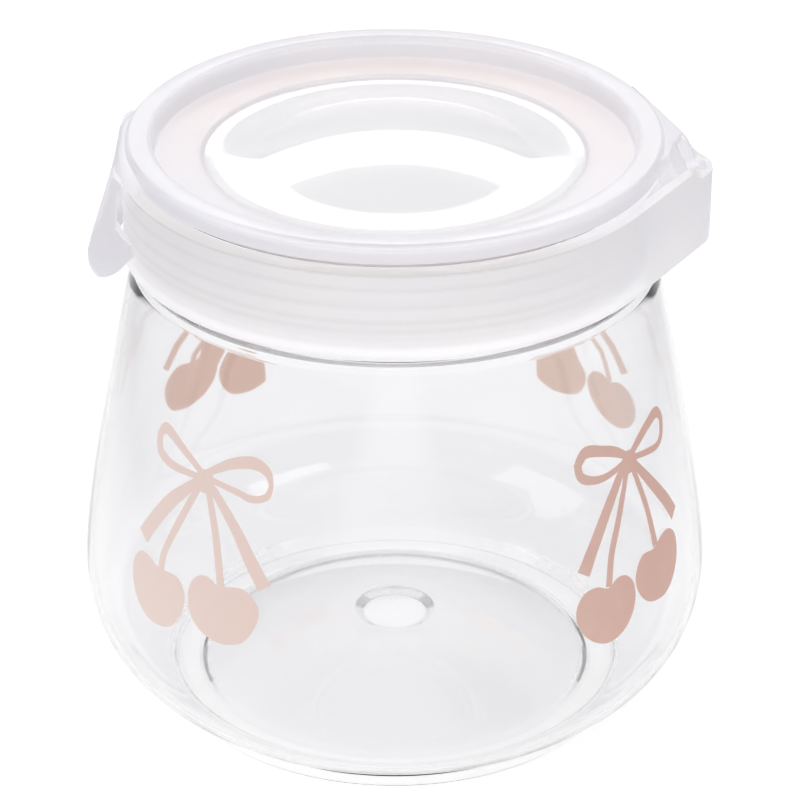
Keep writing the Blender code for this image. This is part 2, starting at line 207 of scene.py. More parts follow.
class Value:
    """A socket that varies over a surface, and takes part in sums as a number does."""

    def __init__(self, shading, socket):
        self.shading, self.socket = shading, socket

    def _math(self, operation, a, b=0.0):
        return self.shading.node("ShaderNodeMath", {"operation": operation}, {0: a, 1: b})

    def __add__(self, other):
        return self._math("ADD", self, other)

    def __sub__(self, other):
        return self._math("SUBTRACT", self, other)

    def __rsub__(self, other):
        return self._math("SUBTRACT", other, self)

    def __mul__(self, other):
        return self._math("MULTIPLY", self, other)

    def __truediv__(self, other):
        return self._math("DIVIDE", self, other)

    __radd__ = __add__
    __rmul__ = __mul__


class Shading:
    """A new material, or the sky, and the one way its nodes are made."""

    def __init__(self, name, kinds=bpy.data.materials, shader="Principled BSDF"):
        self.material = kinds.new(name)
        self.material.use_nodes = True
        self.tree = self.material.node_tree
        self.shader = self.tree.nodes[shader]

    def node(self, kind, settings=None, inputs=None, output=0):
        made = self.tree.nodes.new(kind)
        for key, value in (settings or {}).items():
            if key == "stops":
                self._stops(made, value)
            else:
                setattr(made, key, value)
        for key, value in (inputs or {}).items():
            self.put(made.inputs[key], value)
        return Value(self, made.outputs[output])

    def _stops(self, ramp_node, stops):
        elements = ramp_node.color_ramp.elements
        for i, (place, level) in enumerate(stops):
            element = elements[i] if i < len(elements) else elements.new(place)
            element.position = place
            element.color = (level, level, level, 1.0)

    def put(self, socket, value):
        if isinstance(value, Value):
            self.tree.links.new(value.socket, socket)
        elif hasattr(value, "__len__") and len(value) == 3 and socket.type == "RGBA":
            socket.default_value = (*value, 1.0)
        else:
            socket.default_value = value

    def set(self, **inputs):
        for name, value in inputs.items():
            self.put(self.shader.inputs[name.replace("_", " ")], value)

    def place(self, scale=(1.0, 1.0, 1.0)):
        where = self.node("ShaderNodeTexCoord", output=3)
        return self.node("ShaderNodeMapping", inputs={"Vector": where, "Scale": scale})

    def noise(self, size_mm, scale=(1.0, 1.0, 1.0), detail=2.0):
        return self.node("ShaderNodeTexNoise", {}, {"Vector": self.place(scale), "Scale": 1000.0 / size_mm,
                                                    "Detail": detail})

    def axis(self, number, kind=3):
        """One coordinate of the place on the object, in metres, or of the direction looked in."""
        where = self.node("ShaderNodeTexCoord", output=kind)
        return self.node("ShaderNodeSeparateXYZ", {}, {0: where}, output=number)

    def radius(self):
        """The distance from the object's upright axis, in metres."""
        where = self.node("ShaderNodeTexCoord", output=3)
        flat = self.node("ShaderNodeVectorMath", {"operation": "MULTIPLY"}, {0: where, 1: (1.0, 1.0, 0.0)})
        return self.node("ShaderNodeVectorMath", {"operation": "LENGTH"}, {0: flat}, output=1)

    def ramp(self, value, stops):
        """A level that follows stops of (value, level)."""
        first, last = stops[0][0], stops[-1][0]
        scaled = [((at - first) / (last - first), level) for at, level in stops]
        return self.node("ShaderNodeValToRGB", {"stops": scaled}, {0: (value - first) / (last - first)})

    def spread(self, value, low, high, start=0.3, end=0.7):
        return self.node("ShaderNodeMapRange", {}, {"Value": value, "From Min": start, "From Max": end,
                                                    "To Min": low, "To Max": high})

    def mix(self, amount, a, b):
        return self.node("ShaderNodeMix", {"data_type": "RGBA"}, {0: amount, 6: a, 7: b}, output=2)

    def bump(self, height, distance_mm, strength=1.0):
        relief = self.node("ShaderNodeBump", {}, {"Height": height, "Distance": distance_mm / 1000.0,
                                                  "Strength": strength})
        self.put(self.shader.inputs["Normal"], relief)

    def let_lamps_through(self, tint=(0.97, 0.97, 0.97)):
        """Rays from lamps pass straight through clear plastic, so that what is behind it stays lit."""
        lamp_ray = self.node("ShaderNodeLightPath", output=1)
        open_way = self.node("ShaderNodeBsdfTransparent", {}, {"Color": tint})
        own = Value(self, self.shader.outputs[0])
        both = self.node("ShaderNodeMixShader", {}, {0: lamp_ray, 1: own, 2: open_way})
        self.put(self.tree.nodes["Material Output"].inputs["Surface"], both)


def dress(obj, *materials):
    """Gives a piece its own materials, in place of those its cutting tools left."""
    obj.data.materials.clear()
    for material in materials:
        obj.data.materials.append(material)


def clear_polyester():
    """A weak glow in the gate mark stands in for the light that its frosted face catches."""
    look = Shading("clear_polyester")
    streaks = look.noise(26.0, scale=(1.0, 1.0, 0.25))
    scuffs = look.noise(1.4, detail=4.0)
    dish = GATE_RADIUS - GATE_SLOPE
    in_gate = look.spread(look.radius(), 1.0, 0.0, *mm(dish - 0.5, dish))
    inside = look.spread(look.axis(2), 0.0, 1.0, *mm(PUNT_HIGH + 0.2, PUNT_HIGH + 0.4))
    look.set(Base_Color=look.mix(streaks, (0.925, 0.925, 0.934), (0.943, 0.943, 0.949)),
             Roughness=look.spread(scuffs, 0.015, 0.05), IOR=1.5, Transmission_Weight=1.0,
             Emission_Color=look.mix(in_gate * inside, (0.0, 0.0, 0.0), (1.0, 0.97, 0.93)),
             Emission_Strength=0.06)
    look.bump(streaks, 0.25, 0.35)
    look.let_lamps_through()
    return look.material


jar = turned("clear_jar", jar_profile())
smooth(jar)
dress(jar, clear_polyester())
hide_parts("jar")
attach(jar, "jar")


# Collar
# An injection-moulded ring of milky polypropylene that snaps over the beads of the neck. At +X its wall
# leaves the circle on two straight lines and closes to a hollow loop, which holds the lid's hinge pin.
COLLAR_BORE, COLLAR_RADIUS = 48.4, 51.8
COLLAR_BOTTOM, COLLAR_TOP = 95.5, 112.1
COLLAR_EDGE, CUT_LOW, CUT_HIGH = 0.45, 90.0, 118.0
CATCH_FLAT = 50.5
TANGENT = math.radians(32.0)
LOOP_TIP, LOOP_TIP_HALF, LOOP_TIP_TOP = 59.7, 1.5, 109.8
LOOP_WALL, LOOP_BACK_RADIUS, LOOP_INNER_TIP = 1.8, 50.0, 56.2
HOLLOW_REACH = math.radians(26.0)
LOOP_STEP_START = 54.6
HINGE_X, HINGE_Z = 56.9, 108.6
PIN_RADIUS, PIN_HALF_LENGTH, PIN_GAP = 1.0, 3.1, 0.3
LUG_HALF_WIDTH, LUG_HEAD_RADIUS, LUG_GAP = 1.6, 1.5, 0.35
BEAD_LINES, BEAD_LINE_HALF = (98.7, 101.5, 103.3, 106.2, 109.6), 0.9
# Strengths of painted glows: in all the milky plastic, and low in the collar's bore.
INNER_GLOW, BORE_GLOW = 0.15, 0.45


def wall_x(distance, y, angle=TANGENT):
    """The x at which a straight wall, at a distance from the axis, passes a given y."""
    return (distance - math.sin(angle) * y) / math.cos(angle)


def wall_y(distance, x, angle=TANGENT):
    """The y at which a straight wall, at a distance from the axis, passes a given x."""
    return (distance - math.cos(angle) * x) / math.sin(angle)


def raised(name, outline, along):
    """A closed outline of (x, y, z) points, filled and pulled out along a direction into a solid."""
    obj = drawn(name, outline)
    bpy.ops.mesh.select_all(action="SELECT")
    bpy.ops.mesh.edge_face_add()
    bpy.ops.mesh.extrude_region_move(TRANSFORM_OT_translate={"value": mm(*along)})
    bpy.ops.mesh.select_all(action="SELECT")
    bpy.ops.mesh.normals_make_consistent(inside=False)
    leave_edit()
    return obj


def upright(name, outline, bottom, top):
    return raised(name, [(x, y, bottom) for x, y in outline], (0.0, 0.0, top - bottom))


def sideways(name, outline, half_width):
    """An outline of (x, z) points, made solid along Y."""
    return raised(name, [(x, -half_width, z) for x, z in outline], (0.0, 2.0 * half_width, 0.0))


def round_bar(name, radius, centre, length, turns=32):
    """A round bar along Y."""
    deselect_all()
    bpy.ops.mesh.primitive_cylinder_add(vertices=turns, radius=radius / 1000.0, depth=length / 1000.0,
                                        location=mm(*centre), rotation=(math.radians(90.0), 0.0, 0.0))
    bpy.ops.object.transform_apply(location=True, rotation=True, scale=True)
    bpy.context.object.name = name
    return bpy.context.object


def join(target, tool, operation):
    """Cuts or adds one solid, and removes the tool."""
    modifier = target.modifiers.new(tool.name, "BOOLEAN")
    modifier.operation = operation
    modifier.solver = "EXACT"
    modifier.object = tool
    pick(target)
    bpy.ops.object.modifier_apply(modifier=modifier.name)
    bpy.data.objects.remove(tool, do_unlink=True)


def soften(obj, width, degrees=35.0, segments=2):
    """Rounds the sharp edges of a finished moulding."""
    modifier = obj.modifiers.new("edges", "BEVEL")
    modifier.width = width / 1000.0
    modifier.segments = segments
    modifier.limit_method = "ANGLE"
    modifier.angle_limit = math.radians(degrees)
    pick(obj)
    bpy.ops.object.modifier_apply(modifier=modifier.name)


def teardrop(radius, tip, tip_half):
    """The collar from above: a circle whose two straight walls close to a blunt tip at +X."""
    shoulder = tip - 0.6
    points = [(tip, -tip_half + 0.5), (tip, tip_half - 0.5), (shoulder, wall_y(radius, shoulder))]
    first, steps = math.degrees(TANGENT), 132
    for i in range(steps + 1):
        a = math.radians(first + (360.0 - 2.0 * first) * i / steps)
        points.append((radius * math.cos(a), radius * math.sin(a)))
    return points + [(shoulder, -wall_y(radius, shoulder))]


def milky_polypropylene(name, color, other, roughness, through):
    """Lit from inside a little by a painted glow in its own colour, for the light that wanders through it."""
    look = Shading(name)
    clouds = look.noise(17.0, detail=3.0)
    grain = look.noise(5.0, detail=1.0)
    # Painted light: the emission in the plastic's own colour is a painted glow.
    look.color = look.mix(look.spread(clouds, 0.0, 1.0), color, other)
    look.set(Base_Color=look.color, Roughness=look.spread(grain, roughness - 0.05, roughness + 0.05),
             IOR=1.45, Transmission_Weight=through, Specular_IOR_Level=0.45, Emission_Color=look.color,
             Emission_Strength=INNER_GLOW)
    look.let_lamps_through((0.8, 0.8, 0.82))
    return look


def collar_plastic():
    """Painted shade: darker lines at the heights of the neck's beads, which show through it, and a darker top
    edge in the lid's shade. A painted glow stands for the light that gathers low in its bore.
    """
    look = milky_polypropylene("milky_collar", (0.83, 0.825, 0.84), (0.86, 0.845, 0.85), 0.34, 0.4)
    lowest, highest = mm(COLLAR_BOTTOM - 1.5, COLLAR_TOP + 2.4)
    stops = [(lowest, 0.0)]
    for height in BEAD_LINES:
        below, middle, above = mm(height - BEAD_LINE_HALF, height, height + BEAD_LINE_HALF)
        stops += [(below, 0.0), (middle, 0.6), (above, 0.0)]
    # Painted shade: darker lines at the heights of the beads behind the collar, on its round part.
    beads = look.ramp(look.axis(2) + 0.0012 * look.noise(40.0), stops + [(highest, 0.0)])
    round_part = look.spread(look.axis(0), 1.0, 0.0, 0.02, 0.042)
    # Painted shade: the collar's top edge is darkened on its round part, where the lid's skirt shades it.
    lid_shade = look.spread(look.axis(2), 0.0, 1.0, *mm(COLLAR_TOP - 0.7, COLLAR_TOP - 0.1))
    bead_shaded = look.mix(beads * round_part, look.color, (0.72, 0.69, 0.68))
    # Painted glow: low in the bore the emission turns white and strong, for light that gathers there;
    # elsewhere it stays the milky plastic's own weak painted glow.
    in_bore = look.spread(look.radius(), 1.0, 0.0, *mm(COLLAR_BORE + 0.1, COLLAR_BORE + 0.3))
    low = look.spread(look.axis(2), 1.0, 0.0, *mm(COLLAR_BOTTOM + 1.0, COLLAR_BOTTOM + 3.0))
    inner = look.mix(INNER_GLOW / BORE_GLOW, (0.0, 0.0, 0.0), look.color)
    glow = look.mix(in_bore * low, inner, (1.0, 1.0, 1.0))
    look.set(Base_Color=look.mix(lid_shade * round_part, bead_shaded, (0.7, 0.68, 0.66)), Emission_Color=glow,
             Emission_Strength=BORE_GLOW)
    return look.material


collar = upright("neck_collar", teardrop(COLLAR_RADIUS, LOOP_TIP, LOOP_TIP_HALF), COLLAR_BOTTOM, COLLAR_TOP)
bore = [(0.0, CUT_LOW), (COLLAR_BORE, CUT_LOW), (COLLAR_BORE, CUT_HIGH), (0.0, CUT_HIGH)]
join(collar, turned("collar_bore", bore), "DIFFERENCE")
inner = COLLAR_RADIUS - LOOP_WALL
hollow = [(LOOP_INNER_TIP, -wall_y(inner, LOOP_INNER_TIP)), (LOOP_INNER_TIP, wall_y(inner, LOOP_INNER_TIP))]
for i in range(25):
    turn = HOLLOW_REACH * (1.0 - i / 12.0)
    hollow.append((LOOP_BACK_RADIUS * math.cos(turn), LOOP_BACK_RADIUS * math.sin(turn)))
join(collar, upright("loop_hollow", hollow, CUT_LOW, CUT_HIGH), "DIFFERENCE")
slot_y, slot_reach, slot_start = LUG_HALF_WIDTH + LUG_GAP, LUG_HEAD_RADIUS + LUG_GAP, LOOP_INNER_TIP - 1.5
slot_end = HINGE_X + slot_reach
slot = [(slot_start, -slot_y), (slot_end, -slot_y), (slot_end, slot_y), (slot_start, slot_y)]
join(collar, upright("hinge_slot", slot, HINGE_Z - slot_reach, CUT_HIGH), "DIFFERENCE")
join(collar, round_bar("pin_hole", PIN_RADIUS + PIN_GAP, (HINGE_X, 0.0, HINGE_Z),
                       2.0 * (PIN_HALF_LENGTH + PIN_GAP)), "DIFFERENCE")
edge = (LOOP_STEP_START, COLLAR_TOP)
step = [(LOOP_STEP_START, CUT_HIGH), edge]
step += bezier(edge, (55.6, COLLAR_TOP), (56.2, LOOP_TIP_TOP), (57.4, LOOP_TIP_TOP), 6)
step += [(62.0, LOOP_TIP_TOP), (62.0, CUT_HIGH)]
join(collar, sideways("loop_top_step", step, 20.0), "DIFFERENCE")
flat = [(-CATCH_FLAT, CUT_LOW), (-CATCH_FLAT, CUT_HIGH), (-60.0, CUT_HIGH), (-60.0, CUT_LOW)]
join(collar, sideways("catch_flat", flat, 20.0), "DIFFERENCE")
soften(collar, COLLAR_EDGE)
smooth(collar)
dress(collar, collar_plastic())
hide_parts("neck_collar")
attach(collar, "jar")


# Lid
# One moulding: a raised milky rim and ledge round a polished, clear window with a dome.
# Below it stands the plug wall. The finger tab grows out of the rim at -X, the hinge lug and pin at +X.
LID_RADIUS, LID_TOP, SKIRT_BOTTOM = 50.4, 117.2, 113.4
RIM_INNER, LEDGE_TOP, LEDGE_BOTTOM = 45.2, 113.0, 111.5
WINDOW_RADIUS, WINDOW_TOP, WINDOW_BOTTOM = 36.6, 112.2, 110.8
DOME_RADIUS, DOME_TOP, DOME_WALL = 26.7, 117.0, 1.4
PLUG_OUTER, PLUG_INNER, PLUG_BOTTOM = 37.1, 35.3, 106.0
TAB_TANGENT = math.radians(28.0)
TAB_DISTANCE, TAB_THICKNESS = 52.5, 1.8
TAB_FACE = ((51.9, 113.9), (52.6, 111.2), (53.5, 107.5), (54.5, 104.2), (55.6, 101.0), (56.8, 97.7),
            (57.9, 94.5), (58.5, 92.4))
TAB_CORNER, TAB_NOSE_HALF, TAB_CHEEK_END, TAB_BOTTOM = 2.2, 2.6, 21.0, 88.4
COLLAR_CLEARANCE, CATCH_CLEARANCE = 0.45, 0.35
SEAL_SHADE = ((0.036, 0.0), (0.0375, 1.0), (0.044, 1.0), (0.0455, 0.0))
# Strength of the painted glow in the lid's window.
WINDOW_GLOW = 0.25
# Half outlines of the plates on the rim at the tab and at the hinge, as (x, y, top, underside).
WING = ((45.5, 19.6, 115.6, 113.4), (48.3, 15.6, 115.4, 113.4), (50.9, 9.4, 115.2, 113.2),
        (51.3, 6.0, 115.1, 113.2))
WING_FLARE = (1.0, 3.6)
TONGUE = ((45.6, 21.3, 117.0, 113.0), (47.6, 17.9, 116.4, 113.0), (49.4, 14.4, 115.86, 113.0),
          (51.2, 11.0, 115.32, 113.0), (52.9, 7.6, 114.8, 113.0), (54.2, 5.2, 114.4, 113.0))
TONGUE_FRONT = ((45.6, 18.0, 117.0, 113.0), (47.6, 14.6, 116.4, 113.0), (49.2, 11.6, 115.91, 113.0),
                (50.6, 8.2, 115.49, 113.0), (51.3, 5.0, 115.28, 113.0), (51.9, 2.2, 115.1, 113.0))


def face_x(height):
    """How far out the tab's leaning face is, at a height."""
    for (x_high, z_high), (x_low, z_low) in zip(TAB_FACE, TAB_FACE[1:]):
        if height >= z_low:
            return x_high + (x_low - x_high) * (z_high - height) / (z_high - z_low)
    return TAB_FACE[-1][0]


def tab_side(distance, face, end, corner):
    """Half of the tab's outline seen from above, from its middle to its cheek's end, mirrored to -X later."""
    y_corner = max(wall_y(distance, face, TAB_TANGENT), TAB_NOSE_HALF)
    back = min(corner, y_corner - 0.4)
    turn = [(min(wall_x(distance, y_corner + t, TAB_TANGENT), face), y_corner + t)
            for t in (0.3 * corner, 0.8 * corner)]
    start = (face, y_corner - back)
    bend = bezier(start, (face, y_corner - back * 0.4), turn[0], turn[1], 8)
    return [start] + bend + [(wall_x(distance, end, TAB_TANGENT), end)]


def tab_outline(height):
    face = face_x(height)
    outer = tab_side(TAB_DISTANCE, face, TAB_CHEEK_END, TAB_CORNER)
    inner_side = tab_side(TAB_DISTANCE - TAB_THICKNESS, face - TAB_THICKNESS, TAB_CHEEK_END - 1.0,
                          TAB_CORNER * 0.6)
    around = [(x, y) for x, y in reversed(outer)] + [(x, -y) for x, y in outer]
    back = [(x, -y) for x, y in reversed(inner_side)] + [(x, y) for x, y in inner_side]
    return [(-x, y, height) for x, y in around + back]


def bridged(name, outlines):
    """Closed outlines of equally many (x, y, z) points, joined by walls and capped at both ends."""
    loops = []
    for i, outline in enumerate(outlines):
        loop = drawn("%s_%d" % (name, i), outline)
        bpy.ops.mesh.select_all(action="SELECT")
        bpy.ops.mesh.edge_face_add()
        if 0 < i < len(outlines) - 1:
            bpy.ops.mesh.delete(type="ONLY_FACE")
        leave_edit()
        loops.append(loop)
    body = loops[0]
    for loop in loops[1:]:
        deselect_all()
        body.select_set(True)
        loop.select_set(True)
        bpy.context.view_layer.objects.active = body
        bpy.ops.object.join()
    count = len(outlines[0])
    for i in range(len(outlines) - 1):
        edit(body)
        bpy.ops.mesh.select_all(action="DESELECT")
        leave_edit()
        for edge in body.data.edges:
            levels = {v // count for v in edge.vertices}
            edge.select = levels in ({i}, {i + 1})
        bpy.ops.object.mode_set(mode="EDIT")
        bpy.ops.mesh.select_mode(type="EDGE")
        bpy.ops.mesh.bridge_edge_loops()
        bpy.ops.mesh.select_mode(type="VERT")
        leave_edit()
    edit(body)
    bpy.ops.mesh.normals_make_consistent(inside=False)
    leave_edit()
    body.name = name
    return body


def plate(name, back_half, front_half, flare, side):
    """A plate on both sides of the XZ plane, with its own top and underside height at each point."""
    over = [(side * x, y, top) for x, y, top, _ in back_half]
    under = [(side * (x + flare[0]), y + flare[1], bottom) for x, y, _, bottom in back_half]
    over += [(side * x, -y, top) for x, y, top, _ in reversed(front_half)]
    under += [(side * (x + flare[0]), -y - flare[1], bottom) for x, y, _, bottom in reversed(front_half)]
    return bridged(name, [under, over])


def arc(centre, radius, start, end, steps):
    points = []
    for i in range(steps + 1):
        a = math.radians(start + (end - start) * i / steps)
        points.append((centre[0] + radius * math.cos(a), centre[1] + radius * math.sin(a)))
    return points


def lid_profile():
    dome = [(DOME_RADIUS * i / 16.0, WINDOW_TOP + (DOME_TOP - WINDOW_TOP) * (1.0 - (i / 16.0) ** 2))
            for i in range(17)]
    under = [(r, z - DOME_WALL) for r, z in reversed(dome)]
    top = [dome[-1], (WINDOW_RADIUS - 0.8, WINDOW_TOP), (WINDOW_RADIUS - 0.2, LEDGE_TOP),
           (RIM_INNER, LEDGE_TOP), (RIM_INNER + 0.3, LID_TOP - 0.6), (RIM_INNER + 1.1, LID_TOP),
           (LID_RADIUS - 0.7, LID_TOP), (LID_RADIUS, LID_TOP - 0.8), (LID_RADIUS, SKIRT_BOTTOM),
           (LID_RADIUS - 1.2, SKIRT_BOTTOM), (LID_RADIUS - 1.6, LID_TOP - 2.1),
           (RIM_INNER + 1.7, LID_TOP - 2.1), (RIM_INNER + 1.2, LEDGE_BOTTOM),
           (PLUG_OUTER, LEDGE_BOTTOM), (PLUG_OUTER, PLUG_BOTTOM),
           (PLUG_INNER, PLUG_BOTTOM), (PLUG_INNER, WINDOW_BOTTOM), under[0]]
    return dome[:-1] + rounded(top, 0.55) + under[1:]


def tab_wall():
    """The finger tab: a leaning wall with two cheeks, cut to its curved lower edge and round the collar."""
    heights = [TAB_BOTTOM, 90.6] + [z for _, z in reversed(TAB_FACE)]
    wall = bridged("tab_wall", [tab_outline(z) for z in heights])
    nose = [(-58.9, 91.4), (-58.2, 90.1), (-57.2, 89.4), (-56.2, 89.3), (-54.6, 90.7), (-53.0, 92.6),
            (-51.4, 94.9), (-49.9, 97.6), (-48.6, 100.0)]
    low = [(-62.0, 86.0), (-62.0, 93.0)] + rounded(nose, 1.2) + [(-44.0, 106.0), (-44.0, 86.0)]
    join(wall, sideways("tab_lower_edge", low, 30.0), "DIFFERENCE")
    notch = [(-49.6, SKIRT_BOTTOM + 2.0), (-51.2, 110.0), (-51.7, 103.4), (-50.6, 102.8), (-44.0, 102.8),
             (-44.0, SKIRT_BOTTOM + 2.0)]
    join(wall, sideways("tab_notch", notch, 30.0), "DIFFERENCE")
    inside = COLLAR_RADIUS + COLLAR_CLEARANCE
    room = [(-CATCH_FLAT - CATCH_CLEARANCE, y) for y in (12.0, -12.0)]
    room += arc((0.0, 0.0), inside, 194.0, 225.0, 12)
    room += [(-30.0, -36.9), (-30.0, 36.9)] + arc((0.0, 0.0), inside, 135.0, 166.0, 12)
    join(wall, upright("room_for_collar", room, 80.0, COLLAR_TOP + 0.5), "DIFFERENCE")
    return wall


def hinge_lug():
    lug = [(48.8, 114.0), (48.8, 115.3), (50.8, 114.9), (52.4, 114.3), (53.4, 112.6), (54.1, 110.9),
           (54.7, 109.9), (55.4, 109.7)]
    lug += arc((HINGE_X, HINGE_Z), LUG_HEAD_RADIUS, 120.0, -150.0, 16)
    lug += [(54.2, 107.7), (52.9, 108.6), (51.9, 110.4), (51.3, 112.2), (50.9, 113.5), (50.0, 114.0)]
    return sideways("hinge_lug", lug, LUG_HALF_WIDTH)


def lid_plastic():
    """The pink seal under the ledge shows through it, most at the back."""
    look = milky_polypropylene("milky_lid", (0.78, 0.775, 0.805), (0.805, 0.79, 0.805), 0.35, 0.4)
    over_seal = look.ramp(look.radius(), SEAL_SHADE)
    back = look.spread(look.axis(1), 0.1, 1.0, -0.02, 0.045)
    look.set(Base_Color=look.mix(over_seal * back, look.color, (0.78, 0.705, 0.69)))
    return look.material


def polished_window():
    look = Shading("polished_window")
    swirl = look.noise(30.0)
    color = look.mix(swirl, (0.72, 0.715, 0.73), (0.75, 0.745, 0.75))
    # A weak glow in the window's own colour is painted light, which brightens it.
    look.set(Base_Color=color, Roughness=look.spread(swirl, 0.03, 0.06), IOR=1.5, Transmission_Weight=0.4,
             Emission_Color=color, Emission_Strength=WINDOW_GLOW)
    look.bump(swirl, 0.3, 0.3)
    look.let_lamps_through((0.85, 0.85, 0.86))
    return look.material


lid = turned("flip_lid", lid_profile())
join(lid, plate("tab_wing", WING, WING, WING_FLARE, -1.0), "UNION")
join(lid, tab_wall(), "UNION")
join(lid, plate("hinge_tongue", TONGUE, TONGUE_FRONT, (0.0, 0.0), 1.0), "UNION")
join(lid, hinge_lug(), "UNION")
join(lid, round_bar("hinge_pin", PIN_RADIUS, (HINGE_X, 0.0, HINGE_Z), 2.0 * PIN_HALF_LENGTH), "UNION")
smooth(lid, 38.0)
dress(lid, lid_plastic(), polished_window())
for face in lid.data.polygons:
    middle = Vector(face.center) * 1000.0
    if middle.xy.length < PLUG_INNER + 0.4 and middle.z > WINDOW_BOTTOM - 0.4:
        face.material_index = 1
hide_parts("lid")
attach(lid, "lid")


# Seal
# A ring of soft, faintly pink silicone, pushed over the plug wall under the lid's ledge.
# Its two thin lips bend against the inside of the neck and shut the jar.
SEAL_INNER, SEAL_OUTER, SEAL_LIP = 37.4, 43.6, 45.0
SEAL_TOP, SEAL_BOTTOM = 111.2, 107.6


def soft_silicone():
    look = Shading("soft_silicone")
    clouds = look.noise(12.0, detail=3.0)
    fine = look.noise(4.0, detail=1.0)
    look.set(Base_Color=look.mix(look.spread(clouds, 0.0, 1.0), (0.9, 0.84, 0.82), (0.93, 0.88, 0.86)),
             Roughness=look.spread(fine, 0.35, 0.5), IOR=1.42, Transmission_Weight=0.4)
    look.bump(fine, 0.03, 0.4)
    look.let_lamps_through((0.7, 0.68, 0.67))
    return look.material


seal_section = [(SEAL_INNER, 109.0), (SEAL_INNER, SEAL_BOTTOM), (SEAL_OUTER, SEAL_BOTTOM), (SEAL_LIP, 108.3),
                (SEAL_LIP, 108.9), (SEAL_OUTER, 109.2), (SEAL_OUTER, 109.8), (SEAL_LIP, 110.0),
                (SEAL_LIP, 110.6), (SEAL_OUTER, SEAL_TOP), (SEAL_INNER, SEAL_TOP), (SEAL_INNER, 109.0)]
seal = turned("soft_seal", rounded(seal_section, 0.3))
smooth(seal)
dress(seal, soft_silicone())
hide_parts("seal_ring")
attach(seal, "lid")


# Print
# One ink, screen printed on the outside of the belly in four motifs: a bow that ties two cherries together.
# The second drawing is the first one, mirrored and redrawn. Ribbons are (along, height, width) points and
# fields are (along, height) points, in millimetres along the surface from the knot's meridian.
PRINT_LIFT, PRINT_THICKNESS, STROKE_LIFT = 0.02, 0.04, 0.003
PRINT_LOW, PRINT_HIGH, UNROLLED_RADIUS = 24.0, 82.0, 60.0
STAMP_START, STAMP_LENGTH = 35.0, 35.0
LEFT_BOW = {
    "ribbons": (((0.0, 67.2, 1.2), (-6.3, 70.2, 1.7), (-11.9, 72.2, 2.2), (-13.9, 70.4, 1.8)),
                ((-13.9, 70.8, 1.8), (-13.4, 68.0, 2.0), (-11.5, 66.7, 1.9), (-7.5, 66.1, 1.6),
                 (0.0, 66.5, 1.1)),
                ((0.0, 67.2, 1.2), (3.6, 69.4, 1.7), (7.0, 71.2, 2.1), (11.8, 72.4, 2.4), (15.0, 71.3, 1.8),
                 (16.1, 69.0, 0.9)),
                ((16.1, 69.4, 0.9), (15.3, 66.8, 1.3), (12.0, 65.6, 1.4), (8.2, 66.2, 1.3), (0.0, 67.0, 1.1)),
                ((-0.6, 66.0, 1.6), (-7.2, 60.1, 2.9), (-11.8, 54.3, 3.2), (-14.9, 49.5, 3.5)),
                ((1.0, 66.5, 1.6), (5.0, 63.2, 2.0), (9.4, 58.6, 2.4), (13.0, 53.6, 2.8), (16.1, 49.4, 3.0)),
                ((-0.8, 64.6, 1.5), (-4.9, 56.3, 1.7), (-7.9, 49.5, 1.6), (-8.5, 45.4, 1.7)),
                ((1.6, 65.0, 1.5), (4.6, 56.6, 1.7), (6.8, 47.0, 1.7))),
    "fields": (((-2.0, 66.6), (-0.5, 68.1), (1.9, 68.0), (3.0, 66.4), (2.6, 64.4), (0.3, 63.8), (-1.8, 65.0)),
               ((-9.4, 45.4), (-12.4, 46.5), (-15.2, 46.3), (-17.1, 43.6), (-16.9, 40.4), (-15.0, 37.0),
                (-12.2, 34.7), (-8.6, 34.0), (-4.7, 35.1), (-2.0, 38.8), (-1.6, 42.8), (-4.0, 45.6)),
               ((6.3, 47.3), (3.6, 48.3), (1.0, 47.6), (-0.7, 44.8), (-0.4, 41.0), (1.4, 38.2), (4.2, 36.6),
                (7.8, 36.1), (12.1, 37.6), (14.7, 41.6), (15.0, 45.4), (11.6, 48.1))),
}
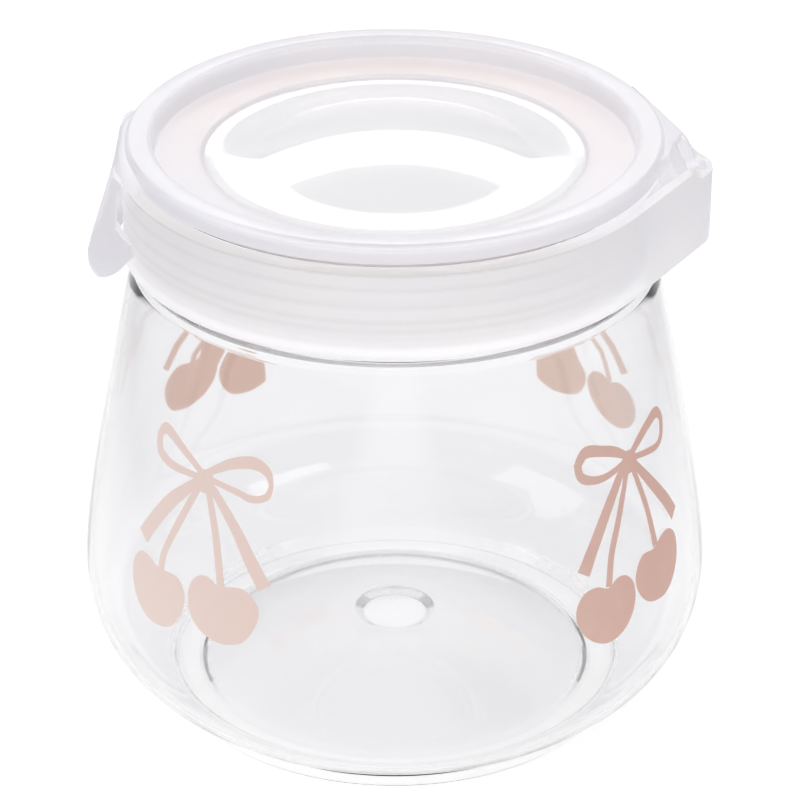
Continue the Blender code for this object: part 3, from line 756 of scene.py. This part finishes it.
RIGHT_BOW = {
    "ribbons": (((0.0, 66.2, 1.2), (4.0, 68.1, 1.8), (8.0, 69.5, 2.0), (12.4, 70.2, 2.2), (14.4, 68.2, 1.8)),
                ((14.4, 68.6, 1.8), (13.4, 65.7, 1.6), (11.3, 64.3, 1.3), (8.0, 64.4, 1.3), (0.0, 65.9, 1.1)),
                ((0.0, 66.2, 1.2), (-4.0, 68.6, 2.0), (-8.0, 70.1, 2.1), (-12.4, 71.2, 2.3),
                 (-14.8, 69.4, 1.9)),
                ((-14.8, 69.9, 1.9), (-14.5, 67.4, 1.9), (-13.0, 66.1, 1.8), (-10.0, 65.2, 1.5),
                 (-6.4, 65.1, 1.3), (0.0, 66.1, 1.1)),
                ((0.6, 65.2, 1.5), (6.2, 58.6, 2.4), (10.8, 53.0, 2.8), (13.6, 48.8, 3.0)),
                ((-1.0, 66.0, 1.6), (-3.5, 64.0, 2.0), (-8.5, 58.7, 2.5), (-13.4, 52.4, 2.8),
                 (-16.0, 48.5, 3.2)),
                ((0.3, 64.6, 1.3), (3.3, 55.0, 1.5), (4.8, 46.2, 1.7)),
                ((-1.2, 64.6, 1.4), (-5.8, 55.6, 1.6), (-8.6, 50.0, 1.6), (-10.1, 44.0, 1.6))),
    "fields": (((-2.4, 66.4), (-0.8, 67.6), (1.4, 67.0), (2.4, 65.4), (1.4, 63.6), (-1.2, 63.2),
                (-3.0, 64.4)),
               ((4.2, 45.9), (7.0, 47.1), (10.2, 47.2), (12.7, 45.0), (12.8, 41.2), (10.4, 37.4), (7.0, 35.4),
                (3.6, 35.4), (0.2, 36.7), (-2.2, 39.8), (-2.5, 43.2), (0.0, 46.2)),
               ((-10.2, 43.8), (-7.6, 44.9), (-5.0, 44.3), (-3.2, 41.6), (-3.7, 37.6), (-6.5, 34.2),
                (-10.8, 32.9), (-15.0, 34.6), (-17.9, 38.2), (-18.4, 41.8), (-16.4, 44.6), (-13.2, 45.0))),
}
PRINTS = ((LEFT_BOW, 230.7), (LEFT_BOW, 130.5), (RIGHT_BOW, 321.6), (RIGHT_BOW, 49.3))
BELLY_WALL = [(r, z) for r, z in outer_wall() if PRINT_LOW < z < PRINT_HIGH]


def flowing(points, closed, steps=5):
    """A smooth curve through points of any number of coordinates."""
    count = len(points)
    out = []
    for i in range(count if closed else count - 1):
        if closed:
            p = [points[(i + k) % count] for k in (-1, 0, 1, 2)]
        else:
            p = [points[min(max(i + k, 0), count - 1)] for k in (-1, 0, 1, 2)]
        for n in range(steps):
            t = n / steps
            weights = (-0.5 * t + t * t - 0.5 * t ** 3, 1.0 - 2.5 * t * t + 1.5 * t ** 3,
                       0.5 * t + 2.0 * t * t - 1.5 * t ** 3, -0.5 * t * t + 0.5 * t ** 3)
            out.append(tuple(sum(w * q[k] for w, q in zip(weights, p)) for k in range(len(points[0]))))
    return out if closed else out + [points[-1]]


def ribbon_outline(spine):
    """The outline of a band along a curve of (along, height, width) points."""
    curve = flowing(spine, closed=False)
    left, right = [], []
    for i, (u, z, width) in enumerate(curve):
        before, after = curve[max(i - 1, 0)], curve[min(i + 1, len(curve) - 1)]
        across = Vector((before[1] - after[1], after[0] - before[0])).normalized() * width / 2.0
        left.append((u + across.x, z + across.y))
        right.append((u - across.x, z - across.y))
    return left + right[::-1]


def stamp(outline, degrees, name):
    """A straight block that cuts one shape of the print out of the ink's thin shell."""
    out = Vector((math.cos(math.radians(degrees)), math.sin(math.radians(degrees))))
    points = []
    for u, z in outline:
        across = outer_radius(z) * math.sin(u / UNROLLED_RADIUS)
        points.append((out.x * STAMP_START - out.y * across, out.y * STAMP_START + out.x * across, z))
    return raised(name, points, (out.x * STAMP_LENGTH, out.y * STAMP_LENGTH, 0.0))


def printed_motif(drawing, degrees, number):
    """One motif as thin skins of ink that follow the belly, one a stroke, each a hair above the last."""
    shapes = [ribbon_outline(spine) for spine in drawing["ribbons"]]
    shapes += [flowing(field, closed=True) for field in drawing["fields"]]
    skins = []
    for i, outline in enumerate(shapes):
        lift = PRINT_LIFT + STROKE_LIFT * i
        low, high = inward(BELLY_WALL, -lift), inward(BELLY_WALL, -lift - PRINT_THICKNESS)
        skin = turned("print_%d_%d" % (number, i), low + high[::-1] + low[:1], turns=120)
        join(skin, stamp(outline, degrees, "stamp"), "INTERSECT")
        skins.append(skin)
    deselect_all()
    for skin in skins:
        skin.select_set(True)
    bpy.context.view_layer.objects.active = skins[0]
    bpy.ops.object.join()
    return skins[0]


def pink_ink():
    """Painted light: its colour is painted in lit and shaded tones that change from side to side and from
    front to back, and it glows a little, as painted light for the light from behind it: most at the back, and
    in front least towards +X.
    """
    look = Shading("pink_ink")
    mottle = look.noise(5.0, detail=3.0)
    side = look.spread(look.axis(0), 0.0, 1.0, -0.045, 0.05)
    far = look.spread(look.axis(1), 0.0, 1.0, -0.01, 0.01)
    # Painted light and shade: lit and shaded tones of the one ink, by front and back and by side.
    lit_and_shaded_ink = look.mix(far, look.mix(side, (0.53, 0.45, 0.42), (0.41, 0.25, 0.21)),
                     look.mix(side, (0.78, 0.48, 0.38), (0.9, 0.62, 0.52)))
    # Painted glow for the light from behind the ink: most at the back, least at the front towards +X.
    behind = look.mix(far, look.mix(side, (0.86, 0.69, 0.63), (0.66, 0.42, 0.35)),
                      look.mix(side, (1.0, 0.69, 0.54), (1.0, 0.8, 0.66)))
    look.set(Base_Color=look.mix(look.spread(mottle, 0.0, 0.25), lit_and_shaded_ink, (0.54, 0.4, 0.36)),
             Roughness=look.spread(mottle, 0.4, 0.55), Specular_IOR_Level=0.4, Emission_Color=behind,
             Emission_Strength=0.42)
    look.bump(mottle, 0.01, 0.3)
    return look.material


for number, (drawing, degrees) in enumerate(PRINTS):
    motif = printed_motif(drawing, degrees, number)
    smooth(motif)
    dress(motif, pink_ink())
    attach(motif, "jar")


# Studio
# A plain white table under a tent of pale cloth, with three wide soft lamps.
# The camera stands at the photograph's height and distance, and looks down at the middle of the jar.
PHOTO_FOCAL_PX, PHOTO_SIZE_PX, SENSOR = 3282.0, 800.0, 36.0
CAMERA_DISTANCE, CAMERA_PITCH, AIM_HEIGHT = 641.0, math.radians(28.46), 59.5
AXIS_SHIFT_PX = 5.2
TABLE_GLOW, PAPER_HALF_WIDTH, LAMP_AIM = 0.34, 0.11, (0.0, 0.0, 0.06)
SKY_STRENGTH = 0.72
SKY_SIDES = ((-1.0, 0.3), (-0.6, 0.75), (0.0, 1.1), (0.6, 0.6), (1.0, 0.2))
SKY_LEVELS = ((0.0, 0.9), (0.25, 0.9), (0.47, 1.0), (0.52, 1.2), (0.7, 1.2), (0.78, 0.6), (1.0, 0.5))


def table_top():
    """White paper that glows a little. Grey cards at its sides show in the plastic, but not to the camera."""
    deselect_all()
    bpy.ops.mesh.primitive_plane_add(size=6.0, location=(0.0, 0.0, 0.0))
    table = bpy.context.object
    table.name = "table"
    look = Shading("white_table")
    paper = look.mix(look.noise(40.0), (0.93, 0.93, 0.93), (0.95, 0.95, 0.95))
    aside, seen_directly = look.axis(0), look.node("ShaderNodeLightPath", output=0)
    beyond = look.spread(aside * aside, 0.0, 1.0, PAPER_HALF_WIDTH ** 2, (2.0 * PAPER_HALF_WIDTH) ** 2)
    beyond = beyond * (1.0 - seen_directly)
    look.set(Base_Color=look.mix(beyond, paper, (0.55, 0.54, 0.58)), Roughness=0.9, Specular_IOR_Level=0.1,
             Emission_Color=look.mix(beyond, (1.0, 1.0, 1.0), (0.2, 0.2, 0.22)), Emission_Strength=TABLE_GLOW)
    table.data.materials.append(look.material)


def soft_lamp(name, place, size, power):
    lamp = bpy.data.lights.new(name, "AREA")
    lamp.shape = "RECTANGLE"
    lamp.size, lamp.size_y = size
    lamp.energy = power
    holder = bpy.data.objects.new(name, lamp)
    bpy.context.scene.collection.objects.link(holder)
    holder.location = place
    holder.rotation_euler = (Vector(LAMP_AIM) - Vector(place)).to_track_quat("-Z", "Y").to_euler()
    return holder


def keep_off(holder, obj):
    """The lamp doesn't light one object, as if a card stood between them."""
    shaded = bpy.data.collections.new("shaded_from_" + holder.name)
    shaded.objects.link(obj)
    shaded.collection_objects[0].light_linking.link_state = "EXCLUDE"
    holder.light_linking.receiver_collection = shaded


def studio_sky():
    """A tent of white cloth: brightest in a band above the table, and dimmer overhead and near the table."""
    look = Shading("studio", bpy.data.worlds, "Background")
    height, side = look.ramp(look.axis(2, kind=0), SKY_LEVELS), look.ramp(look.axis(0, kind=0), SKY_SIDES)
    look.set(Color=height * side, Strength=SKY_STRENGTH)
    bpy.context.scene.world = look.material


table_top()
studio_sky()
soft_lamp("key_right", (0.9, -0.8, 1.3), (1.0, 1.0), 5.5)
soft_lamp("fill_left", (-1.2, -0.5, 1.0), (1.0, 1.0), 4.0)
keep_off(soft_lamp("back_band", (0.0, 1.12, 0.88), (1.8, 0.5), 6.0), jar)

camera_data = bpy.data.cameras.new("camera")
camera_data.sensor_width = SENSOR
camera_data.lens = PHOTO_FOCAL_PX * SENSOR / PHOTO_SIZE_PX
camera_data.shift_x = AXIS_SHIFT_PX / PHOTO_SIZE_PX
camera = bpy.data.objects.new("camera", camera_data)
bpy.context.scene.collection.objects.link(camera)
back, rise = CAMERA_DISTANCE * math.cos(CAMERA_PITCH), CAMERA_DISTANCE * math.sin(CAMERA_PITCH)
camera.location = mm(0.0, -back, AIM_HEIGHT + rise)
camera.rotation_euler = (math.radians(90.0) - CAMERA_PITCH, 0.0, 0.0)
bpy.context.scene.camera = camera
bpy.context.scene.view_settings.view_transform = "Standard"
